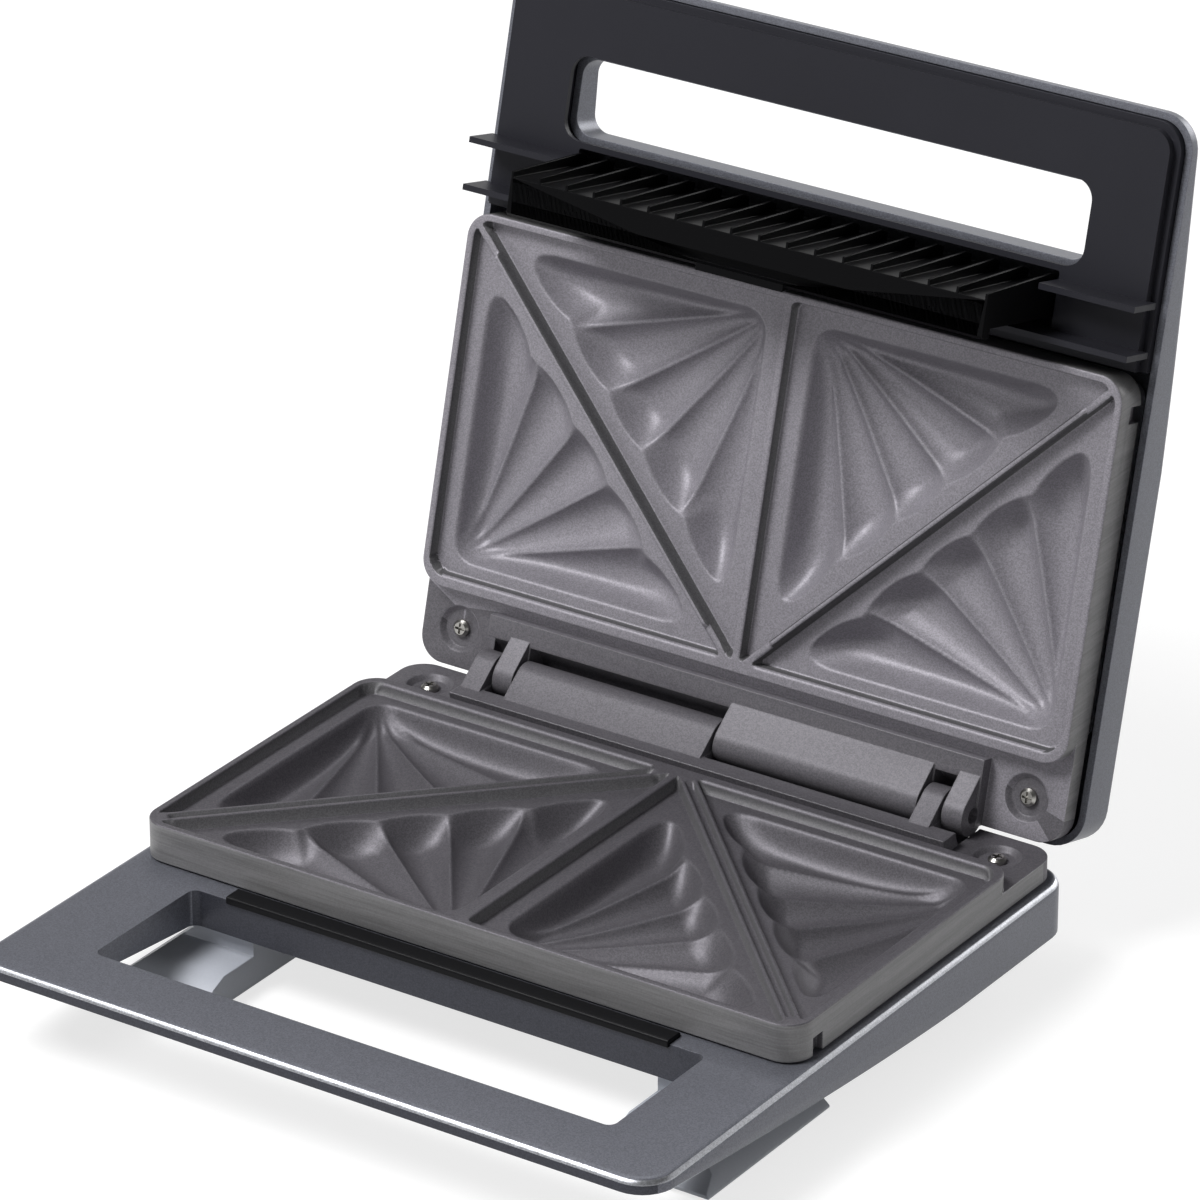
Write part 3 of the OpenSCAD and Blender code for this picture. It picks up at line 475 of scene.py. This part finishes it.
def face_skin(sizes, seam):
    """Finely gridded cooking face with a rounded rim and the top of its outer wall."""
    half = sizes.plate_width / MM / 2
    front = sizes.plate_front / MM
    rear = sizes.field_rear / MM
    round_r = sizes.plate_round / MM
    # the same fractions across and along a cell, so the seam follows the grid's diagonals
    middle = np.linspace(EDGE_BAND, half - EDGE_BAND, sizes.face_steps + 1)
    share = np.concatenate([INNER_ROWS, middle, half - np.array(OUTER_ROWS)]) / half
    last = len(share) - 2
    skin = bmesh.new()
    bmesh.ops.create_grid(skin, x_segments=last, y_segments=last - 1, size=0.5)
    for vert in skin.verts:
        across = round((vert.co.x + 0.5) * last)
        along = last - round((vert.co.y + 0.5) * (last - 1))
        vert.co = (share[across] * half, -rear - share[along] * (front - rear), 0)
    places = np.array([v.co[:] for v in skin.verts])
    x, y = places[:, 0], places[:, 1]
    # rows beside the seam
    _, aside, _, turn = seam_place(x, y, sizes)
    step = (half - 2 * EDGE_BAND) / sizes.face_steps * math.sin(turn)
    bar = (sizes.seam_width if seam == "groove" else sizes.blade_foot) / MM / 2
    edges = [GROOVE_HALF, bar] if seam == "groove" else [bar]
    shift = (crowd(np.abs(aside), step, edges) - np.abs(aside)) * np.sign(aside)
    from_rims = np.minimum(np.minimum(x, half - x), np.minimum(-rear - y, y + front))
    shift *= ramp(from_rims, *SHIFT_SPAN)
    x = x + shift * math.sin(turn)
    y = y + shift * math.cos(turn)
    # corners drawn in onto the round outline
    centre = (front + rear) / -2
    over_x = np.maximum(x - (half - round_r), 0)
    over_y = np.maximum(np.abs(y - centre) - ((front - rear) / 2 - round_r), 0)
    draw = np.maximum(over_x, over_y) / np.maximum(np.hypot(over_x, over_y), 1e-6)
    draw = np.where((over_x > 0) & (over_y > 0), draw, 1)
    x = x - over_x * (1 - draw)
    y = y - over_y * (1 - draw) * np.sign(y - centre)
    heights = field_height(x, y, sizes, seam)
    for vert, place in zip(skin.verts, zip(x, y, heights)):
        vert.co = place
    bmesh.ops.triangulate(skin, faces=skin.faces[:], quad_method="ALTERNATE")
    bmesh.ops.mirror(skin, geom=skin.verts[:] + skin.edges[:] + skin.faces[:], axis="X", merge_dist=1e-4)
    # rounded rim and the wall under it
    rings = []
    for angle in RIM_ANGLES:
        rings.append((RIM_ROUND * (1 - math.sin(angle)), RIM_TOP - RIM_ROUND * (1 - math.cos(angle))))
    rings.append((0, sizes.wall_cut / MM))
    loop = [e for e in skin.edges if e.is_boundary]
    for away, level in rings:
        made = bmesh.ops.extrude_edge_only(skin, edges=loop)["geom"]
        loop = [item for item in made if isinstance(item, bmesh.types.BMEdge)]
        for vert in {v for e in loop for v in e.verts}:
            cx = max(-half + round_r, min(half - round_r, vert.co.x))
            cy = max(-front + round_r, min(-rear - round_r, vert.co.y))
            out = Vector((vert.co.x - cx, vert.co.y - cy, 0)).normalized()
            vert.co = Vector((cx, cy, 0)) + out * (round_r - away) + Vector((0, 0, level))
    bmesh.ops.recalc_face_normals(skin, faces=skin.faces)
    skin.faces.ensure_lookup_table()
    if skin.faces[0].normal.z < 0:
        bmesh.ops.reverse_faces(skin, faces=skin.faces)
    return skin


def clear_raised_part(bm, sizes):
    """Takes the raised part above the wall's cut off a plate's mesh, with its pockets."""
    rear = sizes.field_rear / MM
    cut = sizes.wall_cut / MM
    behind = CUT_BEHIND - rear
    for point, way in (((0, 0, cut), (0, 0, 1)), ((0, behind, 0), (0, 1, 0))):
        geom = bm.verts[:] + bm.edges[:] + bm.faces[:]
        bmesh.ops.bisect_plane(bm, geom=geom, plane_co=point, plane_no=way)
    bmesh.ops.triangulate(bm, faces=bm.faces[:])
    bm.normal_update()
    old = []
    for face in bm.faces:
        centre = face.calc_center_median()
        inside = inside_plate(centre.x, centre.y, sizes) > WELL_INSIDE
        raised = centre.z > cut and centre.y < behind
        sunk = centre.z > POCKET_LEVEL and inside
        faces_up = face.normal.z > LEVEL_NORMAL and inside
        if raised or sunk or faces_up:
            old.append(face)
    bmesh.ops.delete(bm, geom=old, context="FACES")
    join_flat_faces(bm)


def plate_slot(face, sizes):
    """Which finish a face of a plate gets: coating, outer wall, rim wall or hinge knuckle."""
    centre = face.calc_center_median()
    inside = inside_plate(centre.x, centre.y, sizes)
    upright = abs(face.normal.z)
    on_front_or_side = centre.y < -sizes.field_rear / MM - WALL_START
    if upright < WALL_NORMAL and abs(inside) < WALL_NEAR and on_front_or_side:
        return OUTER_WALL
    # painted shade: rim walls get a darker coating
    if upright < RIM_WALL_NORMAL and inside > WELL_INSIDE and centre.z > FIELD_LEVEL:
        return RIM_WALL
    # painted shade: the knuckles get a darker coating
    if math.hypot(centre.y, centre.z) < sizes.knuckle_reach / MM:
        return KNUCKLE
    return COATING


def cooking_plate(node, body, lid, seam, finishes, sizes):
    """A cast plate: the node's own walls and hinge, with a finely modelled cooking face."""
    face_up = Matrix.Rotation(math.pi, 4, "Y") if lid else Matrix.Identity(4)
    to_plate = (to_frame(lid) @ face_up).inverted()
    bm = node_bmesh(node)
    bm.transform(to_plate)
    clear_raised_part(bm, sizes)
    weight = bm.edges.layers.float.new("bevel_weight_edge")
    for edge in bm.edges:
        if edge.is_manifold and edge.calc_face_angle() > math.radians(SHARP_DEG):
            edge[weight] = 1

    skin = face_skin(sizes, seam)
    face_mesh = bpy.data.meshes.new("face")
    skin.to_mesh(face_mesh)
    skin.free()
    bm.from_mesh(face_mesh)
    bpy.data.meshes.remove(face_mesh)
    bm.normal_update()
    for face in bm.faces:
        face.material_index = plate_slot(face, sizes)
    bm.transform(to_plate.inverted())
    piece = new_piece(node + "_cast", bm, body, finishes[0], node, sharp_angle=PLATE_SHARP_DEG)
    for finish in finishes[1:]:
        piece.data.materials.append(finish)
    bevel = piece.modifiers.new("rounded edges", "BEVEL")
    bevel.width = sizes.edge_round
    bevel.segments = 2
    bevel.limit_method = "WEIGHT"
    bevel.harden_normals = True
    return piece


# ---- settings ----


def length_setting(name, description, default):
    """A length in metres that the user can change."""
    return bpy.props.FloatProperty(name=name, description=description, default=default, unit="LENGTH")


class ToasterSizes(bpy.types.PropertyGroup):
    """Sizes of the modelled pieces."""

    plate_width: length_setting("Plate width", "Width over both cells", 0.25)
    plate_front: length_setting("Plate front", "From the hinge axis to the plates' front", 0.1504)
    field_rear: length_setting("Field rear", "From the hinge axis to the rear rim", 0.0231)
    plate_round: length_setting("Plate corner", "Corner radius of the plates' raised part", 0.009)
    rim_height: length_setting("Rim height", "Height of the rims above the fields", 0.0042)
    seam_width: length_setting("Seam width", "Width of the lower plate's grooved seam", 0.0056)
    blade_foot: length_setting("Blade foot", "Width of the upper plate's seam at the rim", 0.0026)
    wall_cut: length_setting("Wall cut", "Level where the modelled rim meets the casting's wall", -0.003)
    shell_inset: length_setting("Shell inset", "Distance from a cell's edge to its shells", 0.009)
    shell_leg: length_setting("Shell leg", "Leg of each triangular shell", 0.098)
    shell_depth: length_setting("Shell depth", "Depth of the flutes below the field", 0.0094)
    wall_lean: length_setting("Wall lean", "Width of the slope along a shell's two legs", 0.0065)
    tip_lean: length_setting("Tip lean", "Width of the slope at the flutes' ends", 0.0095)
    bulge_radius: length_setting("Bulge radius", "Radius of the bulge at each flute's end", 0.038)
    flute_rise: bpy.props.FloatProperty(
        name="Flute rise",
        description="Radius of a flute for each metre from the shell's corner",
        default=0.2,
    )
    fan_edge: bpy.props.FloatProperty(
        name="Fan edge",
        description="Angle in degrees between a shell's leg and its outermost flute",
        default=7.5,
    )
    flutes: bpy.props.IntProperty(
        name="Flutes",
        description="Flutes in each shell",
        default=5,
        min=3,
        max=8,
    )
    face_steps: bpy.props.IntProperty(
        name="Face steps",
        description="Grid steps across the middle of each cell",
        default=174,
        min=40,
        max=180,
    )
    knuckle_reach: length_setting("Knuckle reach", "Reach of the hinge knuckles from the axis", 0.013)
    edge_round: length_setting("Edge rounding", "Rounding of moulded edges", 0.0005)


def colour_setting(name, description, default):
    """A colour that the user can change."""
    return bpy.props.FloatVectorProperty(
        name=name,
        description=description,
        default=default,
        size=3,
        subtype="COLOR",
        min=0,
        max=1,
    )


class ToasterLooks(bpy.types.PropertyGroup):
    """Colours of the finishes, in linear light."""

    paint: colour_setting("Paint", "Silver paint of the housings", (0.15, 0.155, 0.18))
    # painted shade: a darker copy of the paint for the base's faces turned to the front
    front_shade_paint: colour_setting("Thin paint", "Silver paint on the base's front", (0.05, 0.052, 0.065))
    # painted highlight: a lighter, more metallic paint over the middle of rounded edges
    paint_edge_highlight: colour_setting("Edge paint", "Silver paint over rounded edges", (0.46, 0.47, 0.5))
    # painted light and shade: the upper and lower coatings are one coating, the upper lighter and the
    # lower darker
    upper: colour_setting("Upper plate", "Coating of the upper plate", (0.27, 0.258, 0.287))
    lower: colour_setting("Lower plate", "Coating of the lower plate", (0.13, 0.124, 0.138))
    # painted shade: darker than the upper coating, to damp the highlight on the upper hinge knuckles
    knuckles: colour_setting("Knuckles", "Coating of the hinge knuckles", (0.135, 0.129, 0.143))
    # painted shade: a darker copy of the coating for the walls of rims and seams
    rim_wall_shade: colour_setting("Rim walls", "Coating on the walls of rims and seams", (0.1, 0.098, 0.104))
    # painted highlight: lighter coating along edges
    coating_edge_highlight: colour_setting("Worn coating", "Coating rubbed thin along edges", (0.4, 0.39, 0.41))
    walls: colour_setting("Plate walls", "Machined outer walls of the plates", (0.2, 0.198, 0.202))
    liner: colour_setting("Liner", "Plastic of the handle liner", (0.022, 0.022, 0.028))
    latch: colour_setting("Latch", "Plastic of the latch", (0.004, 0.004, 0.0045))
    legs: colour_setting("Legs", "Plastic of the legs and feet", (0.42, 0.44, 0.49))
    cover: colour_setting("Cover", "Plastic of the bottom cover", (0.03, 0.03, 0.033))
    keeper: colour_setting("Keeper", "Plastic of the keeper strip", (0.006, 0.006, 0.007))
    pads: colour_setting("Pads", "Rubber of the foot pads", (0.03, 0.03, 0.03))
    lamp: colour_setting("Lamp", "Lens of the indicator lamps", (0.32, 0.03, 0.02))


def settings():
    """The sizes and the looks that the user has set."""
    scene = bpy.context.scene
    return scene.toaster_sizes, scene.toaster_looks


# ---- operators ----

CASING_ROUND = 1.8  # roundings as shares of the edge rounding
LEG_ROUND = 2
LINER_ROUND = 0.7
FINE_ROUND = 0.5
FRONT_NORMAL = -0.5  # faces turned to the front point farther forward than this
EDGE_NORMAL = (0.4, 0.85)  # upward part of the middle of a rounded edge
LAMPS = (
    # name, place, size in metres, power in watts
    ("key light", (-0.85, -1.15, 2.1), (1.0, 1.0), 60),
    ("rear light", (0.7, 2.6, 0.9), (1.6, 1.0), 30),
    ("top light", (-0.6, 1.0, 2.1), (1.3, 1.3), 12),
)
LAMP_AIM = Vector((0, 0, 0.1))
FLOOR_HALF = 6  # half the floor's width, in metres
FLOOR_TONES = ((0.3, 0.3, 0.3), (0.33, 0.33, 0.33))  # faint clouds between these
FLOOR_GLOW = (0.74, 0.74, 0.74)  # light it gives to the camera and to reflections
HORIZON = (0.12, 0.35)  # the backdrop fades between these heights of a unit ray
BACKDROP = (1, 0.08)  # its strength at the horizon and above
CAMERA_AT = Vector((1.1791, -1.8209, 1.0953))  # from the hinge axis
CAMERA_RIGHT = Vector((0.8292, 0.5589, 0))
CAMERA_AHEAD = Vector((-0.5036, 0.7471, -0.4338))
CAMERA_LENS = 223.4  # in millimetres, on a sensor of this width
CAMERA_SENSOR = 36


class TOASTER_OT_plates(bpy.types.Operator):
    """Models the two cast cooking plates"""

    bl_idname = "toaster.plates"
    bl_label = "Cooking plates"

    def execute(self, context):
        sizes, looks = settings()
        # both in the order of COATING, OUTER_WALL, RIM_WALL and KNUCKLE
        # painted light and shade: the lower plate and the upper knuckles get darker copies of the upper
        # coating
        upper = (
            coating("upper_coating", looks.upper, looks.coating_edge_highlight),
            machined("upper_walls", looks.walls, LID_OPEN),
            # painted shade: darker coating on the rim walls
            coating("upper_rim_wall_shade", looks.rim_wall_shade, looks.coating_edge_highlight),
            coating("upper_knuckles", looks.knuckles, looks.coating_edge_highlight),
        )
        lower = (
            coating("lower_coating", looks.lower, looks.coating_edge_highlight, metallic=0.5),
            machined("lower_walls", looks.walls, 0),
            coating("lower_rim_wall_shade", looks.rim_wall_shade, looks.coating_edge_highlight),
            coating("lower_knuckles", looks.knuckles, looks.coating_edge_highlight),
        )
        cooking_plate("lower_plate", "base", False, "groove", lower, sizes)
        cooking_plate("upper_plate", "lid", True, "blade", upper, sizes)
        return {"FINISHED"}


class TOASTER_OT_housings(bpy.types.Operator):
    """Softens and paints the two housings and the bottom cover"""

    bl_idname = "toaster.housings"
    bl_label = "Housings"

    def execute(self, context):
        sizes, looks = settings()
        paint = metallic_paint("silver_paint", looks.paint)
        round_edge = sizes.edge_round * CASING_ROUND
        casing = soften("base_casing", "base", paint, round_edge)
        # painted shade: the faces turned to the front get a darker copy of the paint
        casing.data.materials.append(metallic_paint("front_shade_paint", looks.front_shade_paint))
        for face in casing.data.polygons:
            if face.normal.y < FRONT_NORMAL:
                face.material_index = 1
        lid = soften("lid_casing", "lid", paint, round_edge)
        # painted highlight: a lighter, more metallic paint over the middle of the rounded edges
        edge = metallic_paint("paint_edge_highlight", looks.paint_edge_highlight, metallic=0.9)
        for piece, turn in ((casing, 0), (lid, -LID_OPEN)):
            piece.data.materials.append(edge)
            up = Matrix.Rotation(turn, 3, "X") @ Vector((0, 0, 1))
            for face in piece.data.polygons:
                if EDGE_NORMAL[0] < abs(face.normal.dot(up)) < EDGE_NORMAL[1]:
                    face.material_index = len(piece.data.materials) - 1
        cover = moulded("cover_plastic", looks.cover, 0.5)
        soften("base_cover", "base", cover, sizes.edge_round * FINE_ROUND, segments=2)
        return {"FINISHED"}


class TOASTER_OT_handle(bpy.types.Operator):
    """Finishes the handle liner, the latch and the keeper strip"""

    bl_idname = "toaster.handle"
    bl_label = "Liner and latch"

    def execute(self, context):
        sizes, looks = settings()
        liner = moulded("liner_plastic", looks.liner, 0.4, grain_scale=1800, gloss=0.14)
        latch = moulded("latch_plastic", looks.latch, 0.34, grain_scale=1800, gloss=0.04)
        keeper = moulded("keeper_plastic", looks.keeper, 0.36, gloss=0.1)
        soften("lid_liner", "lid", liner, sizes.edge_round * LINER_ROUND, segments=2)
        soften("latch", "latch", latch, sizes.edge_round * FINE_ROUND, segments=2)
        soften("latch_keeper", "base", keeper, sizes.edge_round * LINER_ROUND, segments=2)
        return {"FINISHED"}


class TOASTER_OT_feet(bpy.types.Operator):
    """Finishes the legs, the rear feet and their pads"""

    bl_idname = "toaster.feet"
    bl_label = "Legs and feet"

    def execute(self, context):
        sizes, looks = settings()
        legs = moulded("leg_plastic", looks.legs, 0.45, grain_scale=1200)
        for node in ("leg_left", "leg_right", "rear_feet"):
            soften(node, "base", legs, sizes.edge_round * LEG_ROUND)
        pads = moulded("pad_rubber", looks.pads, 0.8)
        soften("foot_pads", "base", pads, sizes.edge_round * FINE_ROUND, segments=2)
        return {"FINISHED"}


class TOASTER_OT_small_parts(bpy.types.Operator):
    """Gives the pin, screws, lamps, elements and other small parts their finishes"""

    bl_idname = "toaster.small_parts"
    bl_label = "Small parts"

    def execute(self, context):
        _, looks = settings()
        steel = bare_metal("turned_steel", (0.55, 0.55, 0.57), 0.3, stretch=(0.05, 1, 1))
        zinc = bare_metal("zinc_steel", (0.40, 0.39, 0.37), 0.3)
        sheath = bare_metal("element_sheath", (0.16, 0.13, 0.11), 0.5)
        sheet = bare_metal("rolled_sheet", (0.80, 0.80, 0.82), 0.3, stretch=(0.04, 1, 1))
        rubber = moulded("gland_rubber", (0.02, 0.02, 0.02), 0.7)
        pale = moulded("pale_plastic", (0.72, 0.68, 0.58), 0.5)
        clay = moulded("fired_clay", (0.70, 0.66, 0.56), 0.7)
        lens = lamp_lens(looks)
        finishes = {
            steel: ["hinge_pin"],
            zinc: ["lower_screws", "upper_screws", "cover_screws", "latch_springs"],
            sheath: ["lower_element", "upper_element"],
            sheet: ["lower_shield", "upper_shield"],
            rubber: ["cord_gland"],
            pale: ["terminal_block", "thermal_fuse"],
            clay: ["thermostat"],
            lens: ["lamp_lenses"],
        }
        for material, nodes in finishes.items():
            for node in nodes:
                for slot in frame["nodes"][node].material_slots:
                    slot.material = material
        return {"FINISHED"}


class TOASTER_OT_stage(bpy.types.Operator):
    """Sets up the pale floor, the soft lights and the camera"""

    bl_idname = "toaster.stage"
    bl_label = "Stage"

    def execute(self, context):
        self.floor()
        self.world(context.scene)
        for lamp in LAMPS:
            self.lamp(*lamp)
        self.camera(context.scene)
        context.scene.view_settings.view_transform = "Standard"
        return {"FINISHED"}

    def floor(self):
        bm = bmesh.new()
        bmesh.ops.create_grid(bm, x_segments=1, y_segments=1, size=FLOOR_HALF)
        mesh = bpy.data.meshes.new("floor")
        bm.to_mesh(mesh)
        bm.free()
        floor = bpy.data.objects.new("floor", mesh)
        bpy.context.scene.collection.objects.link(floor)
        f = Finish("pale_floor", roughness=0.8)
        f.set("Base Color", f.blend(f.noise(3, 2), *FLOOR_TONES))
        path = f.tree.nodes.new("ShaderNodeLightPath")
        seen = Field(f, path.outputs["Is Camera Ray"])
        for ray in ("Is Glossy Ray", "Is Transmission Ray"):
            seen = seen.most(Field(f, path.outputs[ray]))
        f.set("Emission Strength", 1)
        f.set("Emission Color", f.blend(seen, (0, 0, 0), FLOOR_GLOW))
        mesh.materials.append(f.material)

    def world(self, scene):
        """White near the horizon, as a lit backdrop is, and dim above."""
        world = bpy.data.worlds.new("studio")
        world.use_nodes = True
        scene.world = world
        tree = world.node_tree
        way = tree.nodes.new("ShaderNodeTexCoord").outputs["Generated"]
        parts = tree.nodes.new("ShaderNodeSeparateXYZ")
        rise = tree.nodes.new("ShaderNodeMapRange")
        for key, value in zip(("From Min", "From Max", "To Min", "To Max"), HORIZON + BACKDROP):
            rise.inputs[key].default_value = value
        tree.links.new(way, parts.inputs[0])
        tree.links.new(parts.outputs["Z"], rise.inputs["Value"])
        tree.links.new(rise.outputs[0], tree.nodes["Background"].inputs["Strength"])
        tree.nodes["Background"].inputs["Color"].default_value = (1, 1, 1, 1)

    def lamp(self, name, place, size, power):
        data = bpy.data.lights.new(name, "AREA")
        data.shape = "RECTANGLE"
        data.size, data.size_y = size
        data.energy = power
        lamp = bpy.data.objects.new(name, data)
        lamp.location = place
        lamp.rotation_euler = (LAMP_AIM - Vector(place)).to_track_quat("-Z", "Y").to_euler()
        bpy.context.scene.collection.objects.link(lamp)

    def camera(self, scene):
        data = bpy.data.cameras.new("camera")
        data.sensor_width = CAMERA_SENSOR
        data.lens = CAMERA_LENS
        data.clip_end = 20
        camera = bpy.data.objects.new("camera", data)
        right = CAMERA_RIGHT.normalized()
        ahead = CAMERA_AHEAD.normalized()
        up = right.cross(ahead)
        turn = Matrix((right, up, -ahead)).transposed().to_4x4()
        camera.matrix_world = Matrix.Translation(HINGE_AT + CAMERA_AT) @ turn
        bpy.context.scene.collection.objects.link(camera)
        scene.camera = camera


OPERATORS = (
    TOASTER_OT_plates,
    TOASTER_OT_housings,
    TOASTER_OT_handle,
    TOASTER_OT_feet,
    TOASTER_OT_small_parts,
    TOASTER_OT_stage,
)


class TOASTER_PT_panel(bpy.types.Panel):
    """Buttons for the toaster's operators, with its sizes and looks"""

    bl_label = "Toaster"
    bl_space_type = "VIEW_3D"
    bl_region_type = "UI"
    bl_category = "Toaster"

    def draw(self, context):
        for operator in OPERATORS:
            self.layout.operator(operator.bl_idname)
        for group in (context.scene.toaster_sizes, context.scene.toaster_looks):
            for name in group.__annotations__:
                self.layout.prop(group, name)


CLASSES = (ToasterSizes, ToasterLooks, *OPERATORS, TOASTER_PT_panel)


def register():
    for cls in CLASSES:
        bpy.utils.register_class(cls)
    bpy.types.Scene.toaster_sizes = bpy.props.PointerProperty(type=ToasterSizes)
    bpy.types.Scene.toaster_looks = bpy.props.PointerProperty(type=ToasterLooks)


def unregister():
    del bpy.types.Scene.toaster_looks
    del bpy.types.Scene.toaster_sizes
    for cls in reversed(CLASSES):
        bpy.utils.unregister_class(cls)


def main():
    register()
    bpy.ops.toaster.plates()
    bpy.ops.toaster.housings()
    bpy.ops.toaster.handle()
    bpy.ops.toaster.feet()
    bpy.ops.toaster.small_parts()
    bpy.ops.toaster.stage()


if __name__ == "__main__":
    main()
